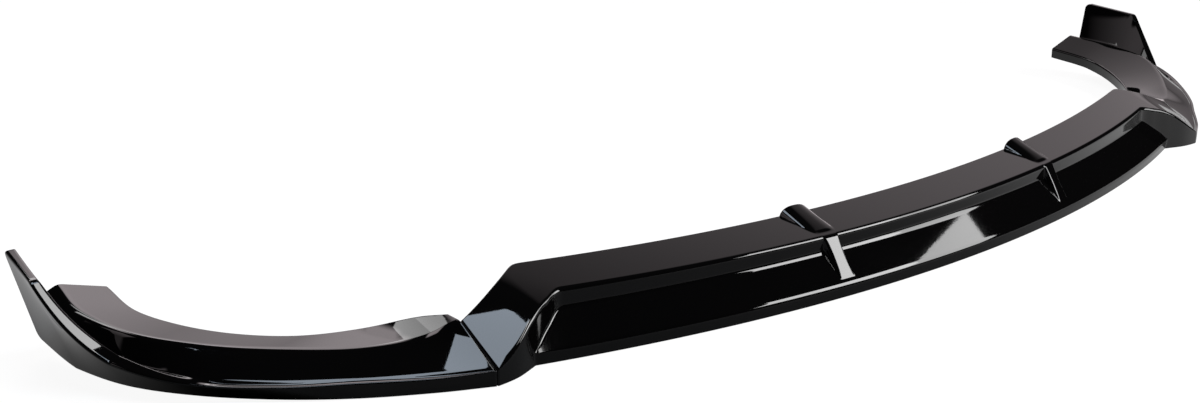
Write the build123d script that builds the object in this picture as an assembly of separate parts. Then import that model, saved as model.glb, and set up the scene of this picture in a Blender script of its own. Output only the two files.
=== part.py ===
from build123d import *
import os
from math import asin, degrees, sqrt
from typing import NamedTuple

# Front splitter lip: X runs across the car, -Y points ahead of it, +Z is up.
# Setbacks are measured rearwards from the blade's foremost point, and heights from the ground.

# Whole lip
overall_depth = 427.5
wall = 3.0
spare = 12.0

# Centre section: plan curves
seam_x = 607.0
plan_radius = 1780.0
brow_setback = 30.0
rear_setback = 82.5
rear_radius = 1900.0
seam_setback = 75.5
seam_depth = 51.0
rear_corner_inset = 83.0
floor_depth = 68.0

# Centre section: heights
blade_height = 12.7
blade_lean = 1.5
sill_height = 42.0
brow_height = 57.5
brow_rise = 3.4
rear_height = 69.0
rear_rise = 8.8

# Pillars: the brow turns down at both ends and its foot runs out to the seam
pillar_reach = 102.0
pillar_bends = ((77.0, 22.0), (52.0, 12.0), (27.0, 3.0))
shoulder_width = 55.0
shoulder_blend = 15.0
seam_front_height = 15.2
seam_rear_height = 48.5

# Buttress fins on the sloping face and strakes on the top panel, in line
fin_x = 196.0
fin_width = 20.0
fin_reach = 24.0
strake_width = 38.0
strake_height = 10.5
strake_gap = 8.0

# Screw holes in the floor flange
screw_hole = 6.0
centre_hole_xs = (150.0, 400.0)
hole_edge = 13.0

# Lap tab and countersunk screw at each seam
tab_length = 30.0
tab_hold = 24.0
tab_width = 20.0
tab_setback = 88.0
tab_thickness = 3.0
seam_screw = 4.0
seam_screw_head = 8.0
seam_screw_length = 11.0
seam_screw_inset = 16.0
clearance = 0.2
nut_flats = 7.0
nut_height = 3.2

# Corner pieces
return_depth = 14.0
winglet_cut_x = 856.0
winglet_front_setback = 352.0
winglet_front_height = 98.0
winglet_tail_height = 107.0
winglet_corner = 14.0
winglet_bend = 0.7
tail_lift = 14.5
tail_lift_run = 60.0


class Cut(NamedTuple):
    """One upright cross-cut of a corner piece, with insets measured from its foot."""

    reach: float
    back: float
    flare: float
    edge_height: float
    ledge: float
    valley_inset: float
    valley_height: float
    crease_inset: float
    crease_height: float
    shelf_width: float
    shelf_height: float
    flange: float


# Cross-cuts from the seam to the winglet's root and on to the tail, in hundredths of the corner's depth
corner_unit = (overall_depth - seam_setback) / 100
wing_rows = (
    (13.9, 7.1, 0.0, 4.0, 0.9, 1.7, 4.7, 13.1, 9.9, 11.4, 11.6, 9.1),
    (30.4, 17.6, 0.0, 4.2, 1.1, 2.0, 4.8, 12.5, 8.8, 13.6, 8.8, 9.1),
    (44.9, 30.1, 2.8, 4.5, 1.4, -0.6, 5.3, 9.2, 10.1, 14.6, 7.8, 9.1),
    (58.2, 45.5, 6.1, 5.6, 2.0, -3.1, 6.3, 5.0, 11.9, 16.9, 8.4, 8.5),
    (68.2, 62.8, 7.2, 9.0, 2.8, -3.4, 7.8, 1.3, 14.2, 19.2, 9.7, 5.1),
)
winglet_rows = (
    (71.9, 81.8, 12.6, 27.6, 1.9, -2.3, 14.2, 2.0, 15.8, 16.2, 11.4, 1.4),
    (72.4, 100.0, 8.5, 30.1, 1.9, -1.7, 16.2, 5.4, 17.6, 14.2, 13.4, 1.0),
)
corner_cuts = [Cut(*(corner_unit * share for share in row)) for row in wing_rows + winglet_rows]
winglet_root = len(wing_rows)
hole_cut = (len(wing_rows) + 1) // 2


def y_at(setback):
    """Y of a point that lies the given setback behind the blade's foremost point."""
    return setback - overall_depth / 2


def bow(x, radius):
    """How far an arc across the car has swept back at x."""
    return radius - sqrt(radius * radius - x * x)


def brow_line(x):
    """Setback of the brow's front edge."""
    return brow_setback + bow(x, plan_radius)


def rear_line(x):
    """Setback of the top panel's rear edge."""
    return rear_setback + bow(x, rear_radius)


def plain_roof(x, setback):
    """Height of the top panel before its shoulders fall, straight from brow to rear edge."""
    crown = (x / seam_x) ** 2
    front = brow_line(x)
    low = brow_height + brow_rise * crown
    high = rear_height + rear_rise * crown
    return low + (high - low) * (setback - front) / (rear_line(x) - front)


def roof(x, setback):
    """Height of the top panel, which falls away over the shoulders to the seam's two heights."""
    x = abs(x)
    past = x - (seam_x - shoulder_width)
    if past < -shoulder_blend:
        ramp = 0.0
    elif past > shoulder_blend:
        ramp = past
    else:
        ramp = (past + shoulder_blend) ** 2 / (4 * shoulder_blend)
    front_fall = plain_roof(seam_x, seam_setback) - seam_front_height
    rear_fall = plain_roof(seam_x, seam_setback + seam_depth) - seam_rear_height
    share = (setback - seam_setback) / seam_depth
    fall = front_fall + (rear_fall - front_fall) * share
    return plain_roof(x, setback) - fall * ramp / shoulder_width


def sloping_face(x, setback):
    """Height of the sloping face between the blade and the brow."""
    centre = brow_setback + plan_radius
    depth = centre - sqrt(x * x + (centre - setback) ** 2)
    return blade_height + (sill_height - blade_height) * depth / brow_setback


def roof_block(drop):
    """Everything below the top panel, lowered by drop."""
    columns = 48
    half = seam_x + 2 * spare
    rows = []
    for column in range(columns + 1):
        x = half * (2 * column / columns - 1)
        front = brow_line(x)
        depth = rear_line(x) - front
        setbacks = [front + share * depth for share in (-1.7, -0.6, 0.5, 1.6)]
        rows.append([(x, y_at(setback), roof(x, setback) - drop) for setback in setbacks])
    top = Face.make_surface_from_array_of_points(rows)
    return extrude(top, amount=2 * rear_height, dir=(0, 0, -1))


def pillar_edge(inset):
    """Plan line of the right-hand pillar's front, from the brow's end to the seam."""
    start = seam_x - pillar_reach
    slope = start / (plan_radius - bow(start, plan_radius))
    points = [(start, y_at(brow_line(start)))]
    points += [(seam_x - left, y_at(seam_setback + back)) for left, back in pillar_bends]
    points.append((seam_x, y_at(seam_setback)))
    edge = Spline(*points, tangents=[(1, slope), (1, -0.05)])
    if inset == 0:
        return edge
    moved = []
    for share in (0, 0.25, 0.5, 0.75, 1):
        along = edge % share
        moved.append(edge @ share + Vector(-along.Y, along.X) * inset)
    return Spline(*moved, tangents=[edge % 0, edge % 1])


def brow_plan():
    """Plan of the brow and pillars."""
    right = pillar_edge(0)
    corner = seam_x - rear_corner_inset
    start = right @ 0
    seam_front = right @ 1
    seam_rear = Vector(seam_x, y_at(seam_setback + seam_depth))
    rear_corner = Vector(corner, y_at(rear_line(corner)))
    middle = (seam_rear + rear_corner) * 0.5 - Vector(1.0, 4.0)
    shoulder = ThreePointArc(seam_rear, middle, rear_corner)
    side = Line(seam_front, seam_rear)
    edges = [right, side, shoulder]
    edges += [mirror(edge, about=Plane.YZ) for edge in edges]
    edges.append(ThreePointArc((-start.X, start.Y), (0, y_at(brow_setback)), start))
    edges.append(ThreePointArc((-corner, rear_corner.Y), (0, y_at(rear_setback)), rear_corner))
    return make_face(edges)


def hollow_plan():
    """Plan of the hollow inside the brow, open at the seams and to the rear."""
    right = pillar_edge(wall)
    start = right @ 0
    end = right @ 1
    far = Vector(seam_x + spare, end.Y)
    back = Vector(far.X, y_at(rear_line(seam_x) + spare))
    edges = [right, Line(end, far), Line(far, back)]
    edges += [mirror(edge, about=Plane.YZ) for edge in edges]
    edges.append(ThreePointArc((-start.X, start.Y), (0, y_at(brow_setback + wall)), start))
    edges.append(Line((-back.X, back.Y), back))
    return make_face(edges)


def behind_floor_plan():
    """Plan of what lies behind the floor flange's rear edge."""
    half = seam_x + spare
    ends = y_at(floor_depth + bow(half, plan_radius))
    far = y_at(2 * rear_line(seam_x))
    front = ThreePointArc((-half, ends), (0, y_at(floor_depth)), (half, ends))
    return make_face([front, Polyline((half, ends), (half, far), (-half, far), (-half, ends))])


def chin_bar(inset):
    """Blade and sloping face, swept along the plan arc until the pillars swallow it."""
    back = brow_setback + spare
    profile = Polyline(
        (y_at(back), 0),
        (y_at(blade_lean), 0),
        (y_at(0), blade_height),
        (y_at(brow_setback), sill_height),
        (y_at(back), sill_height),
        close=True,
    )
    section = make_face(profile)
    if inset:
        section = offset(section, amount=-inset)
    axis = Axis((0, y_at(brow_setback + plan_radius), 0), (0, 0, 1))
    turn = degrees(asin((seam_x - 0.41 * pillar_reach) / (plan_radius + brow_setback)))
    section = (Plane.YZ * section).rotate(axis, -turn)
    return revolve(section, axis=axis, revolution_arc=2 * turn)


def fin():
    """Right-hand buttress fin, from the brow's edge down to just behind the blade."""
    bury = wall / 2
    top = brow_line(fin_x)
    toe = top - fin_reach
    toe_height = sloping_face(fin_x, toe)
    profile = Polyline(
        (y_at(top), roof(fin_x, top)),
        (y_at(toe), toe_height),
        (y_at(toe + bury), toe_height - bury / 2),
        (y_at(top + bury), sill_height - bury),
        (y_at(top + bury), roof(fin_x, top)),
        close=True,
    )
    blank = extrude(Plane.YZ * make_face(profile), amount=fin_width / 2, both=True)
    return Pos(fin_x, 0, 0) * blank


def strake():
    """Right-hand strake, tallest at the top panel's rear edge and fading out ahead."""
    bury = wall / 2
    rear = rear_line(fin_x)
    front = brow_line(fin_x) + strake_gap
    sections = []
    for setback, share in ((rear, 1.0), (front, 0.2)):
        half = strake_width / 2 * (0.8 + 0.2 * share)
        rise = strake_height * share
        arch = EllipticalCenterArc((0, 0), half, rise, start_angle=0, arc_size=180)
        outline = make_face([arch, Line((-half, 0), (half, 0))])
        seat = Plane(
            origin=(fin_x, y_at(setback), roof(fin_x, setback) - bury), x_dir=(1, 0, 0), z_dir=(0, -1, 0)
        )
        sections.append(seat * outline)
    return loft(sections)


def seam_screw_place():
    """Right-hand seam's screw centre on the ground."""
    return Pos(seam_x - seam_screw_inset, y_at(tab_setback + tab_width / 2), 0)


def countersink(radius_gap):
    """Screw body with its flush head at the ground, grown by radius_gap."""
    head = seam_screw_head / 2 + radius_gap
    shank = seam_screw / 2 + radius_gap
    cone = Cone(head, shank, head - shank, align=(Align.CENTER, Align.CENTER, Align.MIN))
    rod = Cylinder(shank, seam_screw_length, align=(Align.CENTER, Align.CENTER, Align.MIN))
    return cone + rod


def centre_section():
    """Middle moulding: an open-backed shell with fins, strakes and screw holes."""
    tall = 2 * rear_height
    up = (0, 0, 1)
    outer = extrude(brow_plan(), amount=tall, dir=up) & roof_block(0)
    outer = outer + chin_bar(0)
    hollow = Pos(0, 0, wall) * extrude(hollow_plan(), amount=tall, dir=up) & roof_block(wall)
    hollow = hollow + chin_bar(wall)
    behind = Pos(0, 0, -wall) * extrude(behind_floor_plan(), amount=tall, dir=up) & roof_block(wall)
    shell = outer - hollow - behind
    for piece in (fin(), strake()):
        shell = shell + piece + mirror(piece, about=Plane.YZ)
    for x in centre_hole_xs:
        place = Pos(x, y_at(floor_depth + bow(x, plan_radius) - hole_edge), 0)
        hole = place * Cylinder(screw_hole / 2, 4 * wall)
        shell = shell - hole - mirror(hole, about=Plane.YZ)
    seat = seam_screw_place() * countersink(clearance)
    return shell - seat - mirror(seat, about=Plane.YZ)


def seam_cut():
    """Cross-cut of the corner piece at the seam, flush with the centre section."""
    follow = corner_cuts[0]
    return Cut(
        reach=0.0,
        back=0.0,
        flare=0.0,
        edge_height=seam_front_height,
        ledge=wall / 2,
        valley_inset=wall,
        valley_height=seam_front_height + wall / 2,
        crease_inset=seam_depth,
        crease_height=seam_rear_height,
        shelf_width=follow.shelf_width / 2,
        shelf_height=seam_rear_height + wall / 3,
        flange=follow.flange,
    )


def cut_planes(cuts):
    """Upright planes of the cross-cuts: local X runs inwards from the foot, local Y is up."""
    feet = [Vector(seam_x + cut.reach, y_at(seam_setback + cut.back)) for cut in cuts]
    planes = []
    for index, foot in enumerate(feet):
        if index == 0:
            inward = Vector(0, 1)
        elif index == len(feet) - 1:
            inward = Vector(-1, 0)
        else:
            along = (feet[index + 1] - feet[index - 1]).normalized()
            inward = Vector(-along.Y, along.X)
        planes.append(Plane(origin=foot, x_dir=inward, z_dir=(inward.Y, -inward.X, 0)))
    return planes


def inset_line(points, distance):
    """Moves an open line of points to its right by a distance, with mitred corners."""
    moved = []
    normals = []
    for start, end in zip(points, points[1:]):
        along = (Vector(*end) - Vector(*start)).normalized()
        normals.append(Vector(along.Y, -along.X))
    for index, point in enumerate(points):
        before = normals[max(index - 1, 0)]
        after = normals[min(index, len(normals) - 1)]
        mitre = (before + after) / (1 + before.dot(after))
        moved.append(Vector(*point) + mitre * distance)
    return moved


def winglet_start():
    """Setback and height at which the winglet's front edge leaves the blade edge."""
    root = corner_cuts[winglet_root - 1]
    plane = cut_planes([seam_cut()] + corner_cuts)[winglet_root]
    edge = plane.from_local_coords(Vector(-root.flare, root.edge_height))
    return edge.Y - y_at(0), root.edge_height


def front_height(setback):
    """Height of the winglet's front edge, a parabola from the blade edge to the top."""
    start, low = winglet_start()
    share = (setback - start) / (winglet_front_setback - start)
    return low + (winglet_front_height - low) * share * (winglet_bend + (1 - winglet_bend) * share)


def above_winglet():
    """Everything above the winglet's front and top edges, seen from the side."""
    start, low = winglet_start()
    ahead = start - winglet_tail_height / 2
    end = overall_depth + spare
    rise = winglet_front_height - low
    slope = rise * winglet_bend / (winglet_front_setback - start)
    tail_slope = (winglet_tail_height - winglet_front_height) / (overall_depth - winglet_front_setback)
    foot = (y_at(start), low)
    bend = (y_at((start + winglet_front_setback) / 2), low + rise * winglet_bend / 2)
    corner = (y_at(winglet_front_setback), winglet_front_height)
    before = (y_at(ahead), low + slope * (ahead - start))
    rear = (y_at(end), winglet_tail_height + tail_slope * spare)
    sky = 2 * winglet_tail_height
    over = Polyline(rear, (y_at(end), sky), (y_at(ahead), sky), before)
    outline = make_face([Line(before, foot), Bezier(foot, bend, corner), Line(corner, rear), over])
    outline = fillet(outline.vertices().sort_by_distance((*corner, 0))[0], winglet_corner)
    return Pos(winglet_cut_x, 0, 0) * extrude(Plane.YZ * outline, amount=seam_x, dir=(1, 0, 0))


def below_tail():
    """Everything below the tail's lower edge, which rises to its end."""
    start = y_at(overall_depth - tail_lift_run)
    end = y_at(overall_depth)
    outline = make_face(Polyline((start, 0), (end, tail_lift), (end, -spare), (start, -spare), close=True))
    return Pos(seam_x, 0, 0) * extrude(Plane.YZ * outline, amount=seam_x, dir=(1, 0, 0))


def cut_face(cut, plane, winglet_top=None):
    """Cross-cut of the thin wall, with the blade edge drawn up to winglet_top where one is given."""
    edge = Vector(-cut.flare, cut.edge_height)
    lip = edge + Vector(cut.ledge, 0)
    valley = Vector(cut.valley_inset, cut.valley_height)
    crease = Vector(cut.crease_inset, cut.crease_height)
    shelf = Vector(cut.crease_inset + cut.shelf_width, cut.shelf_height)
    hem = shelf - Vector(0, return_depth)
    if cut is corner_cuts[winglet_root - 1]:
        lip = Vector(lip.X, front_height(plane.from_local_coords(lip).Y - y_at(0)))
    if winglet_top:
        edge = edge * (winglet_top / edge.Y)
        lip = edge + Vector(cut.ledge, 0)
    toe_in = Vector(cut.flange, 0)
    root_height = min(cut.valley_height, cut.edge_height)
    root = Vector(-cut.flare * root_height / cut.edge_height, root_height)
    skin = [toe_in, Vector(0, 0), root, valley, crease, shelf, hem]
    lining = inset_line([(point.X, point.Y) for point in skin], wall)
    outline = Polyline(toe_in, (0, 0), edge, lip, *skin[3:], *reversed(lining), close=True)
    return plane * make_face(outline)


def corner_piece():
    """Corner moulding on the +X side: shelf, sloping face, blade, winglet and lap tab."""
    cuts = [seam_cut()] + corner_cuts
    planes = cut_planes(cuts)
    body_end = winglet_root + 1
    body = loft([cut_face(cut, plane) for cut, plane in zip(cuts[:body_end], planes)])
    top = 1.1 * winglet_tail_height
    tail = loft([cut_face(cut, plane, top) for cut, plane in zip(cuts[winglet_root:], planes[winglet_root:])])
    piece = body + (tail - above_winglet() - below_tail())
    tab = Pos(seam_x - tab_length, y_at(tab_setback), wall) * Box(
        tab_length + tab_hold, tab_width, tab_thickness, align=(Align.MIN, Align.MIN, Align.MIN)
    )
    piece = piece + tab - seam_screw_place() * Cylinder(seam_screw / 2 + clearance, 8 * wall)
    place = planes[hole_cut].from_local_coords(Vector(cuts[hole_cut].flange - hole_edge, 0))
    return piece - Pos(place.X, place.Y, 0) * Cylinder(screw_hole / 2, 4 * wall)


def seam_screw_solid():
    """Right-hand seam's screw, its head flush with the ground."""
    return seam_screw_place() * Pos(0, 0, clearance) * countersink(0)


def seam_nut_solid():
    """Right-hand seam's nut, on top of the lap tab."""
    blank = extrude(RegularPolygon(nut_flats / 2, 6, major_radius=False), amount=nut_height)
    bore = Cylinder(seam_screw / 2 + clearance / 2, 4 * nut_height)
    return seam_screw_place() * Pos(0, 0, wall + tab_thickness) * (blank - bore)


def both_sides(solid):
    """The solid and its mirror image, as one group."""
    return Compound(children=[solid, mirror(solid, about=Plane.YZ)])


left_corner = corner_piece()
nodes = {
    "centre_section": centre_section(),
    "left_corner": left_corner,
    "right_corner": mirror(left_corner, about=Plane.YZ),
    "seam_screws": both_sides(seam_screw_solid()),
    "seam_nuts": both_sides(seam_nut_solid()),
}
os.makedirs("parts", exist_ok=True)
for name, node in nodes.items():
    export_step(node, f"parts/{name}.step")
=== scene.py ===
"""Front splitter lip, dressed for its picture.

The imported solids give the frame. The three mouldings are drawn again here as smooth surfaces
worked out from the same plan curves and cross-cuts, with rounded edges that catch the light.
"""

import logging
import math
from dataclasses import dataclass
from enum import Enum

import bpy
import numpy as np
from mathutils import Matrix, Vector


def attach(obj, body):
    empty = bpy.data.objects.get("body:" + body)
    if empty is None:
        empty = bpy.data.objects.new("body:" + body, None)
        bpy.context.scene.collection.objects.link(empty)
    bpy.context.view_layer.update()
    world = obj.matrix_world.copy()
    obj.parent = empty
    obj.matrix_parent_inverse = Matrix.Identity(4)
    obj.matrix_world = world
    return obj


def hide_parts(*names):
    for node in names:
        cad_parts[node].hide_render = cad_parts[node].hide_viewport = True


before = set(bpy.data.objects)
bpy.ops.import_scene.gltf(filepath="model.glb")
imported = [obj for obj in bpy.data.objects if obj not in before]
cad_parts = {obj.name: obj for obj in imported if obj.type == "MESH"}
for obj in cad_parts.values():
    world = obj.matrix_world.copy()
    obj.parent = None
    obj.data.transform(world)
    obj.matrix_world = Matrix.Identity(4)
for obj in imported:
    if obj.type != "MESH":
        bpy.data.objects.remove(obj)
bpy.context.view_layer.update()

LOG = logging.getLogger("splitter_lip")
MILLIMETRE = 0.001
WHITE = (1.0, 1.0, 1.0, 1.0)

# Least divisor of a mitred corner, so that a very sharp one doesn't run far out.
LEAST_MITRE = 0.35
# Greatest share of its shorter edge that an eased corner takes.
EASE_ROOM = 0.45
# Edges shorter than this, in millimetres, have no direction of their own.
SHORTEST_EDGE = 1e-6
# Watts that give a square metre of panel a radiance of 1.
PANEL_POWER = 4.0
# Sockets of a Mix node that blends colours, whose names its other sockets have too.
MIX_FACTOR, MIX_FIRST, MIX_SECOND, MIX_RESULT = 0, 6, 7, 2


class Side(Enum):
    """Which end of the lip a corner piece closes, as the sign of its X."""

    LEFT = 1
    RIGHT = -1


class Skin(Enum):
    """The two faces of a thin moulding, as values of the back_skin attribute."""

    SHOW = 0.0
    BACK = 1.0


def hermite(
    x: np.ndarray, knots: np.ndarray, values: np.ndarray, slopes: np.ndarray
) -> np.ndarray:
    """Smooth curve through given points with given slopes.

    Between two knots the value is the cubic that meets both values and both slopes.

    Args:
        x: Where to read the curve.
        knots: Rising positions of the given points.
        values: The curve's values there.
        slopes: The curve's slopes there.

    Returns:
        The values at x.
    """
    index = np.clip(np.searchsorted(knots, x) - 1, 0, len(knots) - 2)
    span = knots[index + 1] - knots[index]
    t = (x - knots[index]) / span
    start = (1 + 2 * t) * (1 - t) ** 2 * values[index] + t * (1 - t) ** 2 * span * slopes[index]
    end = t**2 * (3 - 2 * t) * values[index + 1] + t**2 * (t - 1) * span * slopes[index + 1]
    return start + end


def smooth_through(x: np.ndarray, knots: np.ndarray, values: np.ndarray) -> np.ndarray:
    """Smooth curve through points, with slopes taken from the neighbouring points."""
    return hermite(x, knots, values, np.gradient(values, knots))


def soft_min(a: np.ndarray, b: np.ndarray, soft: float) -> np.ndarray:
    """The lower of two curves, with their crossing eased over about the given distance."""
    return -soft * np.logaddexp(-a / soft, -b / soft)


def inset_profile(corners: np.ndarray, distance: float) -> np.ndarray:
    """Open profiles moved to their right, with mitred corners.

    Each corner moves along the sum of its two edge normals, divided by one plus their product.

    Args:
        corners: Profiles as (profile, corner, 2).
        distance: How far each edge moves.

    Returns:
        The moved corners, in the same order.
    """
    edges = np.diff(corners, axis=1)
    edges = edges / np.linalg.norm(edges, axis=2, keepdims=True)
    normals = np.stack([edges[..., 1], -edges[..., 0]], axis=2)
    before = np.concatenate([normals[:, :1], normals], axis=1)
    after = np.concatenate([normals, normals[:, -1:]], axis=1)
    share = 1 + np.sum(before * after, axis=2, keepdims=True)
    return corners + distance * (before + after) / np.maximum(share, LEAST_MITRE)


def rounded_loops(
    corners: np.ndarray, reach: np.ndarray, steps: np.ndarray, arc: int
) -> np.ndarray:
    """Closed polygons with each corner eased into a parabola.

    A corner C with neighbours at unit directions a and b becomes the curve
    C + d a (1 - t)^2 + d b t^2, where d is the reach, held to a share of the shorter edge.
    Straight runs between the curves are cut into steps, closer together at both ends.

    Args:
        corners: Polygons as (polygon, corner, 3).
        reach: How far the easing reaches along the edges, for each corner.
        steps: How many points stand on the straight run after each corner.
        arc: How many steps each eased corner has.

    Returns:
        The points of the eased polygons, as (polygon, point, 3).
    """
    ahead = np.roll(corners, -1, axis=1) - corners
    length = np.linalg.norm(ahead, axis=2, keepdims=True)
    ahead = ahead / np.maximum(length, SHORTEST_EDGE)
    behind = -np.roll(ahead, 1, axis=1)
    room = EASE_ROOM * np.minimum(length, np.roll(length, 1, axis=1))
    reach = np.minimum(reach[None, :, None], room)
    run_ends = np.roll(corners + reach * behind, -1, axis=1)
    t = np.linspace(0, 1, arc + 1)[None, :, None]
    points = []
    for k in range(corners.shape[1]):
        here = slice(k, k + 1)
        bend = behind[:, here] * (1 - t) ** 2 + ahead[:, here] * t**2
        curve = corners[:, here] + reach[:, here] * bend
        points.append(curve)
        if steps[k]:
            start = curve[:, -1:]
            share = (1 - np.cos(np.linspace(0, math.pi, steps[k] + 2)[1:-1])) / 2
            points.append(start + (run_ends[:, here] - start) * share[None, :, None])
    return np.concatenate(points, axis=1)


def tube_faces(sections: int, points: int) -> np.ndarray:
    """Quads of a closed tube of sections, with both ends closed by a strip between its skins.

    Args:
        sections: How many cross-cuts the tube has.
        points: How many points each cross-cut has, the second half going back along the first.

    Returns:
        Corner indices as (face, 4).
    """
    row = np.arange(sections - 1)[:, None] * points
    column = np.arange(points)[None, :]
    after = (column + 1) % points
    far_row = row + points
    walls = np.stack([row + column, row + after, far_row + after, far_row + column], axis=2)
    k = np.arange(points // 2 - 1)
    cap = np.stack([k, points - 1 - k, points - 2 - k, k + 1], axis=1)
    far_cap = cap[:, ::-1] + (sections - 1) * points
    return np.concatenate([walls.reshape(-1, 4), cap, far_cap])


def outward(vertices: np.ndarray, faces: np.ndarray) -> np.ndarray:
    """Faces turned so that a closed mesh points outwards.

    The sum over all quads of the corner products is positive when they do.

    Args:
        vertices: Points as (point, 3).
        faces: Quads as (face, 4).

    Returns:
        The quads, turned round where needed.
    """
    a, b, c, d = (vertices[faces[:, k]] for k in range(4))
    volume = np.sum(a * np.cross(b, c)) + np.sum(a * np.cross(c, d))
    return faces if volume > 0 else faces[:, ::-1]


def put_mesh(
    name: str, vertices: np.ndarray, faces: np.ndarray, skin: np.ndarray
) -> bpy.types.Object:
    """Object at the origin with a smooth-shaded mesh.

    Args:
        name: The piece's name.
        vertices: Points in millimetres, as (point, 3).
        faces: Quads as (face, 4).
        skin: The back_skin value of each point.

    Returns:
        The new object.
    """
    mesh = bpy.data.meshes.new(name)
    mesh.from_pydata((vertices * MILLIMETRE).tolist(), [], outward(vertices, faces).tolist())
    back_skin = mesh.attributes.new("back_skin", "FLOAT", "POINT")
    back_skin.data.foreach_set("value", skin.astype(np.float32))
    mesh.polygons.foreach_set("use_smooth", np.ones(len(mesh.polygons), dtype=bool))
    mesh.update()
    piece = bpy.data.objects.new(name, mesh)
    bpy.context.scene.collection.objects.link(piece)
    return piece


def add_node(tree: bpy.types.NodeTree, kind: str, **values: float) -> bpy.types.Node:
    """New shader node with numbers on its named inputs.

    Args:
        tree: The node tree.
        kind: What the node is called after ShaderNode.
        values: Numbers by the names of the inputs.

    Returns:
        The new node.
    """
    node = tree.nodes.new(f"ShaderNode{kind}")
    for name, number in values.items():
        node.inputs[name].default_value = number
    return node


def math_node(
    tree: bpy.types.NodeTree, operation: str, *inputs: bpy.types.NodeSocket | float
) -> bpy.types.NodeSocket:
    """Adds one sum to a node tree.

    Args:
        tree: The node tree.
        operation: The sum's name.
        inputs: Numbers, or outputs of other nodes.

    Returns:
        The sum's output.
    """
    node = add_node(tree, "Math")
    node.operation = operation
    for slot, value in zip(node.inputs, inputs):
        if isinstance(value, float):
            slot.default_value = value
        else:
            tree.links.new(value, slot)
    return node.outputs[0]


def carry(
    tree: bpy.types.NodeTree,
    value: bpy.types.NodeSocket,
    span: tuple[float, float, float, float],
    smooth: bool = False,
) -> bpy.types.NodeSocket:
    """Carries a value from one span to another, held at both ends.

    Args:
        tree: The node tree.
        value: The output to carry.
        span: Start and end of the value, then of the result.
        smooth: Whether the step between is eased.

    Returns:
        The carried value.
    """
    node = add_node(tree, "MapRange")
    node.interpolation_type = "SMOOTHSTEP" if smooth else "LINEAR"
    for slot, number in zip(("From Min", "From Max", "To Min", "To Max"), span):
        node.inputs[slot].default_value = number
    tree.links.new(value, node.inputs["Value"])
    return node.outputs["Result"]


@dataclass(frozen=True)
class GlossBlack:
    """Moulded black plastic, polished on the show side and plainer on the back."""

    colour: tuple[float, float, float, float] = (0.002, 0.0019, 0.002, 1.0)
    refraction: float = 1.5
    roughness: float = 0.025
    hazy_roughness: float = 0.04
    back_roughness: float = 0.42
    haze_scale: float = 9.0
    haze_detail: float = 5.0
    haze_span: tuple[float, float] = (0.35, 0.75)
    peel_scale: float = 260.0
    peel_detail: float = 2.0
    peel_strength: float = 0.004

    def material(self) -> bpy.types.Material:
        """Black plastic with a faint orange peel, a soft haze that varies and a plainer back.

        Returns:
            The new material.
        """
        finish = bpy.data.materials.new("gloss_black_plastic")
        finish.use_nodes = True
        tree = finish.node_tree
        shader = tree.nodes["Principled BSDF"]
        shader.inputs["Base Color"].default_value = self.colour
        shader.inputs["IOR"].default_value = self.refraction
        place = add_node(tree, "TexCoord")
        side = add_node(tree, "Attribute")
        side.attribute_name = "back_skin"
        haze = add_node(tree, "TexNoise", Scale=self.haze_scale, Detail=self.haze_detail)
        tree.links.new(place.outputs["Object"], haze.inputs["Vector"])
        gloss_span = (*self.haze_span, self.roughness, self.hazy_roughness)
        gloss = carry(tree, haze.outputs["Fac"], gloss_span)
        blend = add_node(tree, "Mix", B=self.back_roughness)
        tree.links.new(side.outputs["Fac"], blend.inputs["Factor"])
        tree.links.new(gloss, blend.inputs["A"])
        tree.links.new(blend.outputs["Result"], shader.inputs["Roughness"])
        peel = add_node(tree, "TexNoise", Scale=self.peel_scale, Detail=self.peel_detail)
        tree.links.new(place.outputs["Object"], peel.inputs["Vector"])
        bump = add_node(tree, "Bump", Strength=self.peel_strength, Distance=MILLIMETRE)
        tree.links.new(peel.outputs["Fac"], bump.inputs["Height"])
        tree.links.new(bump.outputs["Normal"], shader.inputs["Normal"])
        return finish


@dataclass(frozen=True)
class ZincSteel:
    """Zinc-plated steel of the seam screws and nuts."""

    colour: tuple[float, float, float] = (0.55, 0.55, 0.53)
    dull_share: float = 0.7
    cloud_scale: float = 700.0
    roughness_span: tuple[float, float] = (0.25, 0.5)

    def material(self) -> bpy.types.Material:
        """Bright plating with a fine, patchy tone and shine.

        Returns:
            The new material.
        """
        finish = bpy.data.materials.new("zinc_steel")
        finish.use_nodes = True
        tree = finish.node_tree
        shader = tree.nodes["Principled BSDF"]
        shader.inputs["Metallic"].default_value = 1.0
        place = add_node(tree, "TexCoord")
        cloud = add_node(tree, "TexNoise", Scale=self.cloud_scale)
        tree.links.new(place.outputs["Object"], cloud.inputs["Vector"])
        dull = tuple(self.dull_share * channel for channel in self.colour)
        tone = add_node(tree, "Mix")
        tone.data_type = "RGBA"
        tone.inputs[MIX_FIRST].default_value = (*self.colour, 1.0)
        tone.inputs[MIX_SECOND].default_value = (*dull, 1.0)
        tree.links.new(cloud.outputs["Fac"], tone.inputs[MIX_FACTOR])
        tree.links.new(tone.outputs[MIX_RESULT], shader.inputs["Base Color"])
        shine = carry(tree, cloud.outputs["Fac"], (0.0, 1.0, *self.roughness_span))
        tree.links.new(shine, shader.inputs["Roughness"])
        return finish


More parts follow.
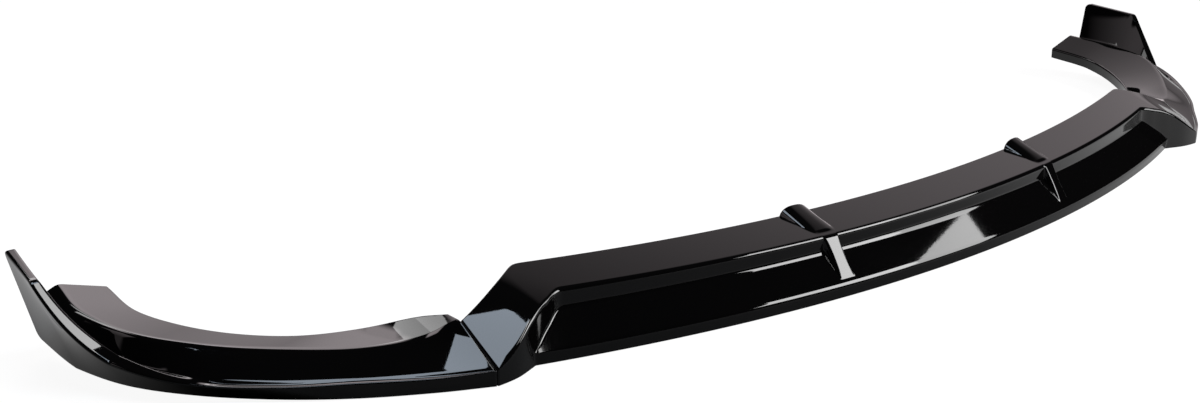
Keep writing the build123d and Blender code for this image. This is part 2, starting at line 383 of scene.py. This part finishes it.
@dataclass(frozen=True)
class LipPlan:
    """Curves and heights that the middle and the corners share, in millimetres."""

    overall_depth: float = 427.5
    wall: float = 3.0
    seam_x: float = 607.0
    seam_setback: float = 75.5
    seam_depth: float = 51.0
    seam_front_height: float = 15.2
    seam_rear_height: float = 48.5
    seam_groove: float = 1.1
    seam_groove_share: float = 0.5
    plan_radius: float = 1780.0
    brow_setback: float = 30.0
    brow_height: float = 57.5
    brow_rise: float = 3.4
    rear_setback: float = 82.5
    rear_radius: float = 1900.0
    rear_height: float = 69.0
    rear_rise: float = 8.8
    shoulder_width: float = 55.0
    shoulder_blend: float = 15.0

    @property
    def corner_unit(self) -> float:
        """A hundredth of the corner pieces' depth, in which their cross-cuts are given."""
        return (self.overall_depth - self.seam_setback) / 100

    def y_at(self, setback: np.ndarray) -> np.ndarray:
        """Y of points that lie a setback behind the blade's foremost point."""
        return setback - self.overall_depth / 2

    def bow(self, x: np.ndarray, radius: float) -> np.ndarray:
        """How far an arc across the car has swept back at x."""
        return radius - np.sqrt(radius**2 - x**2)

    def brow_line(self, x: np.ndarray) -> np.ndarray:
        """Setback of the brow's front edge."""
        return self.brow_setback + self.bow(x, self.plan_radius)

    def rear_line(self, x: np.ndarray) -> np.ndarray:
        """Setback of the top panel's rear edge."""
        return self.rear_setback + self.bow(x, self.rear_radius)

    def groove(self, show: np.ndarray, back: np.ndarray, at_seam: np.ndarray) -> np.ndarray:
        """Show profiles, with those at a seam sunk a share of the way to their back profiles."""
        share = np.where(at_seam, self.seam_groove_share, 0.0)[:, None, None]
        return show + share * (back - show)

    def plain_roof(self, x: np.ndarray, setback: np.ndarray) -> np.ndarray:
        """Height of the top panel before its shoulders fall, straight from brow to rear edge.

        Args:
            x: Distance from the middle, either way.
            setback: Distance behind the blade's foremost point.

        Returns:
            The height at each place.
        """
        crown = (x / self.seam_x) ** 2
        low = self.brow_height + self.brow_rise * crown
        high = self.rear_height + self.rear_rise * crown
        front = self.brow_line(x)
        return low + (high - low) * (setback - front) / (self.rear_line(x) - front)

    def roof(self, x: np.ndarray, setback: np.ndarray) -> np.ndarray:
        """Height of the top panel.

        The plain panel, less a fall that starts softly at the shoulder and reaches the seam's
        two heights at the seam, shared straight between its front and rear.

        Args:
            x: Distance from the middle, either way.
            setback: Distance behind the blade's foremost point.

        Returns:
            The height at each place.
        """
        x = np.abs(x)
        past = x - (self.seam_x - self.shoulder_width)
        soft = self.shoulder_blend
        ramp = np.where(past > soft, past, np.clip(past + soft, 0, 2 * soft) ** 2 / (4 * soft))
        seam_rear = self.seam_setback + self.seam_depth
        front_fall = self.plain_roof(self.seam_x, self.seam_setback) - self.seam_front_height
        rear_fall = self.plain_roof(self.seam_x, seam_rear) - self.seam_rear_height
        share = (setback - self.seam_setback) / self.seam_depth
        fall = (front_fall + (rear_fall - front_fall) * share) / self.shoulder_width
        return self.plain_roof(x, setback) - fall * ramp


@dataclass(frozen=True)
class Easing:
    """How the corners of a moulding's cross-cuts are rounded and the runs between them divided.

    Reaches are in millimetres, one for each corner of the show side and of the back after it.
    """

    show_reach: tuple[float, ...]
    back_reach: tuple[float, ...]
    show_steps: tuple[int, ...]
    arc: int = 5

    def apply(self, corners: np.ndarray) -> np.ndarray:
        """The eased cross-cuts of a moulding, the show side first and the back after it."""
        steps = np.array([*self.show_steps, 0, *self.show_steps[::-1], 0])
        return rounded_loops(corners, np.array(self.show_reach + self.back_reach), steps, self.arc)


@dataclass
class Moulding:
    """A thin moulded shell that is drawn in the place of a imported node."""

    plan: LipPlan

    def shell(self, name: str, node: str, points: np.ndarray) -> bpy.types.Object:
        """Closed skin through cross-cuts, with quads between neighbouring points.

        Args:
            name: The piece's name.
            node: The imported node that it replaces.
            points: The cross-cuts as (cross-cut, point, 3), the show side first.

        Returns:
            The new object.
        """
        sections, count = points.shape[:2]
        on_show = np.arange(count) < count // 2
        skin = np.tile(np.where(on_show, Skin.SHOW.value, Skin.BACK.value), sections)
        piece = put_mesh(name, points.reshape(-1, 3), tube_faces(sections, count), skin)
        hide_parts(node)
        return piece

    def dress(self, piece: bpy.types.Object, finish: bpy.types.Material) -> None:
        """Gives the moulding its finish and lets it ride on the lip.

        Args:
            piece: The moulding's object.
            finish: Its material.
        """
        piece.data.materials.clear()
        piece.data.materials.append(finish)
        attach(piece, "root")
        LOG.info("%s: %d faces", piece.name, len(piece.data.polygons))


@dataclass
class CentreSection(Moulding):
    """Middle moulding: top panel, stepped brow, sloping face, blade, fins and strakes."""

    blade_height: float = 12.7
    blade_lean: float = 1.5
    sill_height: float = 42.0
    floor_depth: float = 68.0
    least_step: float = 0.06
    pillar_reach: float = 102.0
    pillar_bends: tuple[tuple[float, float], ...] = ((77.0, 22.0), (52.0, 12.0), (27.0, 3.0))
    pillar_seam_slope: float = -0.05
    rear_corner_inset: float = 83.0
    rear_corner_soft: float = 2.5
    shoulder_bend: tuple[float, float] = (1.0, 4.0)
    fin_x: float = 196.0
    fin_width: float = 20.0
    fin_reach: float = 24.0
    fin_draft: float = 1.2
    fin_round: float = 3.0
    fin_wall_share: float = 0.75
    strake_width: float = 38.0
    strake_height: float = 10.5
    strake_gap: float = 8.0
    strake_tip: float = 3.0
    strake_tip_height_share: float = 0.2
    strake_tip_width_share: float = 0.84
    strake_power: float = 2.6
    panel_cuts: int = 64
    fin_cuts: int = 64
    fin_cuts_span: float = 0.6
    pillar_cuts: int = 80
    pillar_cuts_span: float = 1.1
    easing: Easing = Easing(
        show_reach=(0.4, 1.0, 4.6, 0.6, 3.4, 4.0, 1.2),
        back_reach=(0.6, 1.0, 2.0, 0.6, 1.0, 1.0, 0.4),
        show_steps=(5, 3, 3, 6, 4, 24),
    )

    def columns(self) -> np.ndarray:
        """Places of the cross-cuts, closer together at fins, pillars and seams.

        Returns:
            Distances from the middle across the car, rising, the same on both sides.
        """
        seam = self.plan.seam_x
        beside = self.fin_cuts_span * self.strake_width
        pillar = seam - self.pillar_cuts_span * self.pillar_reach
        half = np.concatenate(
            [
                np.linspace(0, seam - self.pillar_reach, self.panel_cuts),
                np.linspace(self.fin_x - beside, self.fin_x + beside, self.fin_cuts),
                np.linspace(pillar, seam - self.plan.seam_groove, self.pillar_cuts),
                [seam],
            ]
        )
        half = np.unique(np.round(half, 3))
        return np.concatenate([-half[:0:-1], half])

    def front_line(self, x: np.ndarray) -> np.ndarray:
        """Setback of the upright wall: the brow's arc, then the pillar's curve out to the seam.

        Args:
            x: Distances from the middle, either way.

        Returns:
            The wall's setback at each place.
        """
        plan = self.plan
        x = np.abs(x)
        start = plan.seam_x - self.pillar_reach
        bends = [plan.seam_x - left for left, _ in self.pillar_bends]
        backs = [plan.seam_setback + back for _, back in self.pillar_bends]
        knots = np.array([start, *bends, plan.seam_x])
        values = np.array([plan.brow_line(start), *backs, plan.seam_setback])
        slopes = np.gradient(values, knots)
        slopes[0] = start / (plan.plan_radius - plan.bow(start, plan.plan_radius))
        slopes[-1] = self.pillar_seam_slope
        pillar = hermite(np.maximum(x, start), knots, values, slopes)
        return np.where(x < start, plan.brow_line(x), pillar)

    def back_line(self, x: np.ndarray) -> np.ndarray:
        """Setback of the rear edge: the panel's arc, eased into the shoulder's curve to the seam.

        The shoulder is the parabola through the rear corner, a point just ahead of the chord's
        middle and the seam, and the two lines meet in a soft minimum.

        Args:
            x: Distances from the middle, either way.

        Returns:
            The rear edge's setback at each place.
        """
        plan = self.plan
        x = np.abs(x)
        corner = plan.seam_x - self.rear_corner_inset
        corner_back = plan.rear_line(corner)
        seam_back = plan.seam_setback + plan.seam_depth
        inset, ahead = self.shoulder_bend
        knots = np.array([corner, (corner + plan.seam_x) / 2 - inset, plan.seam_x])
        backs = np.array([corner_back, (corner_back + seam_back) / 2 - ahead, seam_back])
        shoulder = np.polyval(np.polyfit(knots, backs, 2), x)
        return soft_min(plan.rear_line(x), shoulder, self.rear_corner_soft)

    def fin_fill(self, x: np.ndarray) -> np.ndarray:
        """How far the fins fill the step at each cross-cut, from 0 to 1.

        Each side rises steeply over the draft to the wall's share, and the rest is a quarter
        circle.

        Args:
            x: Where the cross-cuts stand.

        Returns:
            The filled share.
        """
        inside = self.fin_width / 2 - np.abs(np.abs(x) - self.fin_x)
        side = np.clip(inside / self.fin_draft, 0, 1)
        turn = np.clip((inside - self.fin_draft) / self.fin_round, 0, 1)
        rounding = np.sqrt(1 - (1 - turn) ** 2)
        return self.fin_wall_share * side + (1 - self.fin_wall_share) * rounding

    def corners(self, x: np.ndarray, fins: bool) -> np.ndarray:
        """Corners of the open show profiles, from the floor's rear round to the top.

        Args:
            x: Where the cross-cuts stand.
            fins: Whether the fins fill the step below the brow.

        Returns:
            Setbacks and heights as (cross-cut, corner, 2).
        """
        plan = self.plan
        blade = plan.bow(x, plan.plan_radius)
        front = self.front_line(x)
        back = self.back_line(x)
        floor = np.minimum(self.floor_depth + blade, back)
        share = np.clip((front - blade) / plan.brow_setback, self.least_step, 1)
        top = np.minimum(blade, front)
        sill = self.blade_height + (self.sill_height - self.blade_height) * share
        toe_share = 1 - self.fin_reach / plan.brow_setback
        toe_back = top + (front - top) * toe_share
        toe_height = self.blade_height + (sill - self.blade_height) * toe_share
        toe = np.stack([toe_back, toe_height], 1)
        step = np.stack([front, sill], 1)
        brow = np.stack([front, plan.roof(x, front)], 1)
        if fins:
            step = step + ((toe + brow) / 2 - step) * self.fin_fill(x)[:, None]
        zero = np.zeros_like(x)
        return np.stack(
            [
                np.stack([floor, zero], 1),
                np.stack([np.minimum(blade + self.blade_lean, front), zero], 1),
                np.stack([top, zero + self.blade_height], 1),
                toe,
                step,
                brow,
                np.stack([back, plan.roof(x, back)], 1),
            ],
            axis=1,
        )

    def strake_rise(self, x: np.ndarray, setback: np.ndarray) -> np.ndarray:
        """Height that the strakes add to the top panel.

        A half oval across, flatter than an ellipse and sunk half a wall, that grows from the
        brow to the rear edge.

        Args:
            x: Places across the car.
            setback: Places behind the blade's foremost point.

        Returns:
            The added height.
        """
        plan = self.plan
        start = plan.brow_line(x) + self.strake_gap
        share = np.clip((setback - start) / (plan.rear_line(x) - start), 0, 1)
        tall, wide = self.strake_tip_height_share, self.strake_tip_width_share
        rise = self.strake_height * (tall + (1 - tall) * share)
        half = self.strake_width / 2 * (wide + (1 - wide) * share)
        across = np.clip(np.abs(np.abs(x) - self.fin_x) / half, 0, 1)
        tip = np.clip((setback - start) / self.strake_tip + 0.5, 0, 1)
        return np.maximum(rise * np.sqrt(1 - across**self.strake_power) - plan.wall / 2, 0) * tip

    def build(self) -> bpy.types.Object:
        """The moulding as one closed skin, with the strakes raised on its top panel.

        Returns:
            The new object.
        """
        plan = self.plan
        x = self.columns()
        back = inset_profile(self.corners(x, fins=False), plan.wall)
        show = plan.groove(self.corners(x, fins=True), back, np.abs(x) == plan.seam_x)
        loop = np.concatenate([show, back[:, ::-1]], axis=1)
        across = np.broadcast_to(x[:, None, None], loop.shape[:2] + (1,))
        corners = np.concatenate([across, plan.y_at(loop[..., :1]), loop[..., 1:]], axis=2)
        points = self.easing.apply(corners)
        show_end = points.shape[1] // 2
        panel_start = show_end - (self.easing.arc + 1) - self.easing.show_steps[-1]
        panel = points[:, panel_start:show_end]
        panel[..., 2] += self.strake_rise(panel[..., 0], panel[..., 1] - plan.y_at(0.0))
        return self.shell("centre_moulding", "centre_section", points)


@dataclass
class CornerPiece(Moulding):
    """End moulding: shelf, sloping face, blade edge and upright winglet.

    Its cross-cuts are numbered from the seam to the tail, and their sizes are in hundredths of
    the piece's depth. Inward directions are in degrees from straight away from the middle, and
    lean is the slope of the outer face.
    """

    side: Side
    reach: tuple[float, ...] = (0.0, 13.9, 30.4, 44.9, 58.2, 68.2, 72.6, 73.4)
    back: tuple[float, ...] = (0.0, 7.1, 17.6, 30.1, 45.5, 62.8, 81.8, 100.0)
    inward: tuple[float, ...] = (90.0, 113.0, 128.0, 134.0, 144.0, 160.0, 176.0, 180.0)
    lean: tuple[float, ...] = (0.0, 0.0, 0.0, 0.625, 1.09, 0.8, 0.425, 0.27)
    edge_height: tuple[float, ...] = (4.32, 4.0, 4.2, 4.5, 5.6, 9.0)
    ledge: tuple[float, ...] = (0.43, 0.9, 1.1, 1.4, 2.2, 4.0, 2.6, 3.0)
    valley_inset: tuple[float, ...] = (0.85, 1.7, 2.0, -0.6, -2.9, -2.4, -2.1, -1.7)
    valley_height: tuple[float, ...] = (4.75, 4.7, 4.8, 5.3, 6.3, 7.8, 13.5, 14.6)
    crease_inset: tuple[float, ...] = (14.5, 13.1, 12.5, 9.2, 5.0, 1.3, 2.0, 5.4)
    crease_height: tuple[float, ...] = (13.78, 9.9, 8.8, 10.1, 11.9, 14.2, 15.8, 17.6)
    shelf_width: tuple[float, ...] = (5.7, 11.4, 13.6, 14.6, 16.9, 19.2, 16.2, 14.2)
    shelf_height: tuple[float, ...] = (14.06, 11.6, 8.8, 7.8, 8.4, 9.7, 11.4, 13.4)
    flange_width: tuple[float, ...] = (9.1, 9.1, 9.1, 9.1, 8.5, 5.1, 1.4, 1.0)
    knee_share: float = 0.9
    tail_lift: float = 14.5
    tail_lift_run: float = 60.0
    tail_round: float = 6.0
    return_depth: float = 14.0
    winglet_root: int = 5
    winglet_front_setback: float = 352.0
    winglet_front_height: float = 98.0
    winglet_tail_height: float = 107.0
    winglet_start_share: float = 0.7
    winglet_soft: float = 1.6
    ledge_bank: float = 0.25
    bank_start: float = 3.6
    bank_run: float = 0.5
    edge_rounds: int = 12
    face_cuts: int = 130
    winglet_cuts: int = 120
    tail_cuts: int = 25
    tail_span: float = 0.1
    easing: Easing = Easing(
        show_reach=(0.4, 1.4, 3.4, 1.6, 4.0, 5.0, 2.6, 0.4),
        back_reach=(0.4, 1.0, 4.0, 3.0, 0.6, 0.2, 1.0, 0.4),
        show_steps=(4, 8, 4, 10, 8, 12, 4),
    )

    def turn(self, values: tuple[float, ...], v: np.ndarray) -> np.ndarray:
        """One angle or slope of the cross-cuts, read smoothly between the numbered cuts."""
        return smooth_through(v, np.arange(len(values), dtype=float), np.array(values))

    def read(self, values: tuple[float, ...], v: np.ndarray) -> np.ndarray:
        """One size of the cross-cuts in millimetres, read smoothly between the numbered cuts."""
        return self.plan.corner_unit * self.turn(values, v)

    def tail_end(self, setback: np.ndarray) -> np.ndarray:
        """How far a quarter circle has turned in from the tail's corner."""
        end = np.clip((setback - self.plan.overall_depth) / self.tail_round + 1, 0, 1)
        return self.tail_round * (1 - np.sqrt(1 - end**2))

    def outline(self, setback: np.ndarray) -> np.ndarray:
        """Height of the winglet's edge seen from the side.

        The front edge rises as a parabola, the top is straight, and the two meet in a soft
        minimum. At the tail the top drops as a quarter circle.

        Args:
            setback: Distance behind the blade's foremost point.

        Returns:
            The edge's height.
        """
        plan, root = self.plan, self.winglet_root
        low = plan.corner_unit * self.edge_height[root]
        flare = self.lean[root] * low * math.sin(math.radians(self.inward[root]))
        start = plan.seam_setback + plan.corner_unit * self.back[root] - flare
        t = (setback - start) / (self.winglet_front_setback - start)
        straight = self.winglet_start_share
        bend = straight * t + (1 - straight) * t * np.maximum(t, 0)
        front = low + (self.winglet_front_height - low) * bend
        run = plan.overall_depth - self.winglet_front_setback
        slope = (self.winglet_tail_height - self.winglet_front_height) / run
        top = self.winglet_front_height + slope * (setback - self.winglet_front_setback)
        return soft_min(front, top, self.winglet_soft) - self.tail_end(setback)

    def corners(self, v: np.ndarray) -> tuple[np.ndarray, np.ndarray, np.ndarray, np.ndarray]:
        """Show and back profiles of the cross-cuts, and where each cut's foot stands.

        The winglet's edge stands where its leaning outer face meets the outline. Its height
        and its setback depend on each other, so they are settled in rounds. Before the
        winglet's root the ledge banks up with a smooth step.

        Args:
            v: Numbers of the cross-cuts, between whole ones too.

        Returns:
            Show corners and back corners as (cut, corner, 2), the feet and the inward directions.
        """
        plan = self.plan
        reach = plan.seam_x + self.read(self.reach, v)
        foot = np.stack([reach, plan.seam_setback + self.read(self.back, v)], axis=1)
        turn = np.radians(self.turn(self.inward, v))
        inward = np.stack([np.cos(turn), np.sin(turn)], axis=1)
        lean = self.turn(self.lean, v)
        ledge = self.read(self.ledge, v)
        edge = self.read(self.edge_height, np.minimum(v, self.winglet_root))
        tall = v > self.winglet_root
        for _ in range(self.edge_rounds):
            edge = np.where(tall, self.outline(foot[:, 1] - lean * edge * inward[:, 1]), edge)
        lip_inset = ledge - lean * edge
        turn_up = np.clip((v - self.bank_start) / self.bank_run, 0, 1)
        banked = edge + self.ledge_bank * ledge * turn_up**2 * (3 - 2 * turn_up)
        lip_height = np.where(tall, self.outline(foot[:, 1] + lip_inset * inward[:, 1]), banked)
        lip = np.stack([lip_inset, lip_height], 1)
        valley = np.stack([self.read(self.valley_inset, v), self.read(self.valley_height, v)], 1)
        crease = np.stack([self.read(self.crease_inset, v), self.read(self.crease_height, v)], 1)
        shelf_inset = crease[:, 0] + self.read(self.shelf_width, v)
        shelf = np.stack([shelf_inset, self.read(self.shelf_height, v)], 1)
        hem = shelf - np.array([0.0, self.return_depth])
        lifted = np.clip((foot[:, 1] - plan.overall_depth) / self.tail_lift_run + 1, 0, 1)
        rise = self.tail_lift * lifted + self.tail_end(foot[:, 1])
        base = np.stack([-lean * rise, rise], 1)
        toe = base + np.stack([self.read(self.flange_width, v), np.zeros_like(v)], 1)
        rim = np.stack([-lean * edge, edge], 1)
        show = np.stack([toe, base, rim, lip, valley, crease, shelf, hem], axis=1)
        root_height = np.minimum(valley[:, 1], edge)
        root = np.stack([-lean * root_height, root_height], 1)
        knee = base + (root - base) * self.knee_share
        plain = np.stack([toe, base, knee, root, valley, crease, shelf, hem], axis=1)
        return show, inset_profile(plain, plan.wall), foot, inward

    def cuts(self) -> np.ndarray:
        """Numbers of the cross-cuts, closer together at the tail's rounded corner.

        Returns:
            Rising numbers from the seam, 0, to the tail.
        """
        last = len(self.reach) - 1.0
        first_step = self.plan.corner_unit * math.hypot(self.reach[1], self.back[1])
        groove = self.plan.seam_groove / first_step
        return np.concatenate(
            [
                [0.0],
                np.linspace(groove, self.winglet_root, self.face_cuts),
                np.linspace(self.winglet_root, last - self.tail_span, self.winglet_cuts)[1:],
                last - self.tail_span * np.linspace(1, 0, self.tail_cuts)[1:] ** 2,
            ]
        )

    def build(self) -> bpy.types.Object:
        """The moulding as one closed skin.

        Returns:
            The new object.
        """
        plan = self.plan
        v = self.cuts()
        show, back, foot, inward = self.corners(v)
        loop = np.concatenate([plan.groove(show, back, v == 0), back[:, ::-1]], axis=1)
        flat = foot[:, None, :] + loop[..., :1] * inward[:, None, :]
        x = self.side.value * flat[..., :1]
        corners = np.concatenate([x, plan.y_at(flat[..., 1:]), loop[..., 1:]], axis=2)
        node = f"{self.side.name.lower()}_corner"
        return self.shell(f"{node}_moulding", node, self.easing.apply(corners))


@dataclass
class SeamFasteners:
    """Screws and nuts of the two seams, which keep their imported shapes."""

    nodes: tuple[str, ...] = ("seam_screws", "seam_nuts")

    def dress(self, finish: bpy.types.Material) -> None:
        """Gives the screws and nuts their plating.

        Args:
            finish: Their material.
        """
        for name in self.nodes:
            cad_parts[name].data.materials.clear()
            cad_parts[name].data.materials.append(finish)
            LOG.info("%s: plated", name)


@dataclass(frozen=True)
class Softbox:
    """A flat lit panel, so many metres wide and high, that faces the lip.

    It is turned by roll degrees in its own plane.
    """

    name: str
    place: tuple[float, float, float]
    aim: tuple[float, float, float]
    width: float
    height: float
    radiance: float
    roll: float = 0.0
    tint: tuple[float, float, float] = (1.0, 1.0, 1.0)

    def build(self) -> None:
        """Hangs the panel as an area light that the camera doesn't see."""
        data = bpy.data.lights.new(self.name, "AREA")
        data.shape = "RECTANGLE"
        data.size = self.width
        data.size_y = self.height
        data.energy = PANEL_POWER * self.radiance * self.width * self.height
        data.color = self.tint
        panel = bpy.data.objects.new(self.name, data)
        toward = Vector(self.aim) - Vector(self.place)
        facing = toward.to_track_quat("-Z", "Y").to_matrix()
        rolled = facing @ Matrix.Rotation(math.radians(self.roll), 3, "Z")
        panel.location = self.place
        panel.rotation_euler = rolled.to_euler()
        panel.visible_camera = False
        bpy.context.scene.collection.objects.link(panel)


@dataclass(frozen=True)
class Glow:
    """A lit part of the far surroundings, between two bearings and two heights in degrees.

    Bearings run from straight behind the lip, 0, towards its left end, 90. The strength runs
    from low to high with the height, and the edges are soft over so many degrees either way.
    """

    bearings: tuple[float, float]
    heights: tuple[float, float]
    low: float
    high: float
    soft: float

    def strength(
        self, tree: bpy.types.NodeTree, bearing: bpy.types.NodeSocket, height: bpy.types.NodeSocket
    ) -> bpy.types.NodeSocket:
        """Strength of the lit part, times a smooth rise and fall across both pairs of edges.

        Args:
            tree: The world's node tree.
            bearing: The bearing that is looked at.
            height: The height that is looked at.

        Returns:
            The strength there.
        """
        total = carry(tree, height, (*self.heights, self.low, self.high))
        for value, (first, last) in ((bearing, self.bearings), (height, self.heights)):
            rise = carry(tree, value, (first - self.soft, first + self.soft, 0.0, 1.0), smooth=True)
            fall = carry(tree, value, (last - self.soft, last + self.soft, 1.0, 0.0), smooth=True)
            total = math_node(tree, "MULTIPLY", total, math_node(tree, "MULTIPLY", rise, fall))
        return total


@dataclass
class Studio:
    """Pale floor, soft light and the camera at the photograph's angle.

    The floor's two fades run from one Y or X, in metres, to another, and give the strength of a
    painted glow that the gloss shows on the floor there, standing in for lamp light on the floor
    behind and beside the lip.
    """

    camera_place: tuple[float, float, float] = (-1.489, -1.22825, 0.604)
    azimuth: float = -42.67
    elevation: float = 17.16
    lens: float = 51.26
    sensor_width: float = 36.0
    view_end: float = 200.0
    floor_half: float = 40.0
    floor_level: float = -0.0004
    floor_colour: tuple[float, float, float, float] = (0.12, 0.12, 0.12, 1.0)
    floor_roughness: float = 0.9
    floor_white: float = 0.93
    # Painted glow of the floor in the gloss: the span of Y or X, then the strengths it runs
    # between.
    floor_glow_behind: tuple[float, float, float, float] = (0.0, 0.3, 0.0, 0.34)
    floor_glow_beside: tuple[float, float, float, float] = (-0.1, 0.7, 0.0, 0.55)
    darkness: float = 0.004
    glow_tint: tuple[float, float, float, float] = (1.0, 0.9, 0.93, 1.0)
    softboxes: tuple[Softbox, ...] = (
        Softbox(
            "front_softbox", (1.584, -1.224, 0.945), (0.052, 0.062, 0.945), 0.45, 1.2, 5.4, -32.0
        ),
        Softbox(
            "side_softbox", (1.216, -1.662, 1.303), (-0.316, -0.376, 1.303), 0.9, 1.2, 9.5, -32.0
        ),
        Softbox(
            "top_softbox",
            (-0.71, -0.142, 1.5),
            (-0.71, -0.142, 0.0),
            0.78,
            0.45,
            5.0,
            11.3,
            tint=(0.75, 0.86, 1.0),
        ),
        Softbox("strip_softbox", (-0.265, -0.74, 1.5), (-0.265, -0.74, 0.0), 0.21, 0.92, 8.0),
        Softbox("pad_softbox", (0.02, 1.78, 1.5), (0.02, 1.78, 0.0), 0.64, 0.72, 2.2),
        Softbox("shoulder_softbox", (-0.6, 1.565, 1.5), (-0.6, 1.565, 0.0), 0.6, 0.35, 3.2),
    )
    glows: tuple[Glow, ...] = (
        Glow((46.0, 76.0), (12.0, 54.0), 0.8, 0.27, 4.0),
        Glow((46.0, 76.0), (-8.0, 12.0), 0.2, 0.25, 4.0),
        Glow((28.0, 42.0), (-8.0, 46.0), -0.2, 3.0, 3.0),
        Glow((25.0, 32.0), (20.0, 34.0), 1.3, 2.1, 2.0),
        Glow((-6.0, 14.0), (46.0, 58.0), 3.2, 3.2, 2.0),
        Glow((20.0, 46.0), (-8.0, 14.0), 0.5, 0.55, 3.0),
        Glow((-60.0, 20.0), (-8.0, 14.0), 0.28, 0.28, 3.0),
        Glow((47.0, 66.0), (-8.0, 12.0), 1.7, 1.7, 2.0),
        Glow((-76.0, -42.0), (15.0, 56.0), 0.0, 1.1, 2.0),
    )

    def camera(self) -> None:
        """Puts the camera at its place, level, looking down at the lip."""
        turn, tilt = math.radians(self.azimuth), math.radians(self.elevation)
        right = np.array([math.cos(turn), math.sin(turn), 0.0])
        away = np.array([math.sin(turn), -math.cos(turn), 0.0])
        back = math.cos(tilt) * away + np.array([0.0, 0.0, math.sin(tilt)])
        up = np.cross(back, right)
        data = bpy.data.cameras.new("studio_camera")
        data.lens = self.lens
        data.sensor_width = self.sensor_width
        data.clip_end = self.view_end
        eye = bpy.data.objects.new("studio_camera", data)
        pose = np.eye(4)
        pose[:3, :3] = np.stack([right, up, back], axis=1)
        pose[:3, 3] = self.camera_place
        eye.matrix_world = Matrix(pose.tolist())
        bpy.context.scene.collection.objects.link(eye)
        bpy.context.scene.camera = eye

    def seen(self, rays: bpy.types.Node, tree: bpy.types.NodeTree) -> bpy.types.NodeSocket:
        """1 for rays that show the background itself, straight or through glass, and else 0."""
        straight, through = rays.outputs["Is Camera Ray"], rays.outputs["Is Transmission Ray"]
        return math_node(tree, "MAXIMUM", straight, through)

    def paper(self) -> bpy.types.Material:
        """Pale paper, white to the camera; in the gloss it shows a painted glow, more behind and
        beside the lip, that fades to the front.

        Returns:
            The new material.
        """
        sheet = bpy.data.materials.new("pale_paper")
        sheet.use_nodes = True
        tree = sheet.node_tree
        shader = tree.nodes["Principled BSDF"]
        shader.inputs["Base Color"].default_value = self.floor_colour
        shader.inputs["Roughness"].default_value = self.floor_roughness
        shader.inputs["Emission Color"].default_value = WHITE
        rays = add_node(tree, "LightPath")
        place = add_node(tree, "TexCoord")
        axes = add_node(tree, "SeparateXYZ")
        tree.links.new(place.outputs["Object"], axes.inputs["Vector"])
        # Painted light: the floor glows for glossy rays only, more behind the lip and towards +X,
        # in place of lamp light falling there.
        behind = carry(tree, axes.outputs["Y"], self.floor_glow_behind, smooth=True)
        beside = carry(tree, axes.outputs["X"], self.floor_glow_beside, smooth=True)
        painted_floor_glow = math_node(tree, "MAXIMUM", behind, beside)
        gloss = math_node(tree, "MULTIPLY", rays.outputs["Is Glossy Ray"], painted_floor_glow)
        white = math_node(tree, "MULTIPLY", self.seen(rays, tree), self.floor_white)
        strength = math_node(tree, "MAXIMUM", white, gloss)
        tree.links.new(strength, shader.inputs["Emission Strength"])
        return sheet

    def floor(self) -> None:
        """Lays a wide sheet of the pale paper just under the lip."""
        half, level = self.floor_half, self.floor_level
        ring = [(-half, -half), (half, -half), (half, half), (-half, half)]
        mesh = bpy.data.meshes.new("studio_floor")
        mesh.from_pydata([(x, y, level) for x, y in ring], [], [(0, 1, 2, 3)])
        mesh.materials.append(self.paper())
        sheet = bpy.data.objects.new("studio_floor", mesh)
        bpy.context.scene.collection.objects.link(sheet)

    def world(self) -> None:
        """Dark surroundings with a few lit parts, and plain white to the camera."""
        space = bpy.data.worlds.new("studio_world")
        bpy.context.scene.world = space
        space.use_nodes = True
        tree = space.node_tree
        shade = tree.nodes["Background"]
        place = add_node(tree, "TexCoord")
        axes = add_node(tree, "SeparateXYZ")
        tree.links.new(place.outputs["Generated"], axes.inputs["Vector"])
        turn = math_node(tree, "ARCTAN2", axes.outputs["X"], axes.outputs["Y"])
        bearing = math_node(tree, "DEGREES", turn)
        height = math_node(tree, "DEGREES", math_node(tree, "ARCSINE", axes.outputs["Z"]))
        total: bpy.types.NodeSocket | float = self.darkness
        for glow in self.glows:
            total = math_node(tree, "MAXIMUM", total, glow.strength(tree, bearing, height))
        seen = self.seen(add_node(tree, "LightPath"), tree)
        hue = add_node(tree, "Mix")
        hue.data_type = "RGBA"
        hue.inputs[MIX_FIRST].default_value = self.glow_tint
        hue.inputs[MIX_SECOND].default_value = WHITE
        tree.links.new(seen, hue.inputs[MIX_FACTOR])
        tree.links.new(hue.outputs[MIX_RESULT], shade.inputs["Color"])
        tree.links.new(math_node(tree, "MAXIMUM", total, seen), shade.inputs["Strength"])

    def build(self) -> None:
        """Sets the view transform and puts up the whole studio."""
        bpy.context.scene.view_settings.view_transform = "Standard"
        self.camera()
        self.floor()
        self.world()
        for softbox in self.softboxes:
            softbox.build()


def main() -> None:
    """Builds the lip's pieces in order, dresses them and puts up the studio."""
    logging.basicConfig(level=logging.INFO, format="%(message)s")
    plan = LipPlan()
    black = GlossBlack().material()
    for moulding in (CentreSection(plan), *(CornerPiece(plan, side) for side in Side)):
        moulding.dress(moulding.build(), black)
    SeamFasteners().dress(ZincSteel().material())
    Studio().build()


if __name__ == "__main__":
    main()
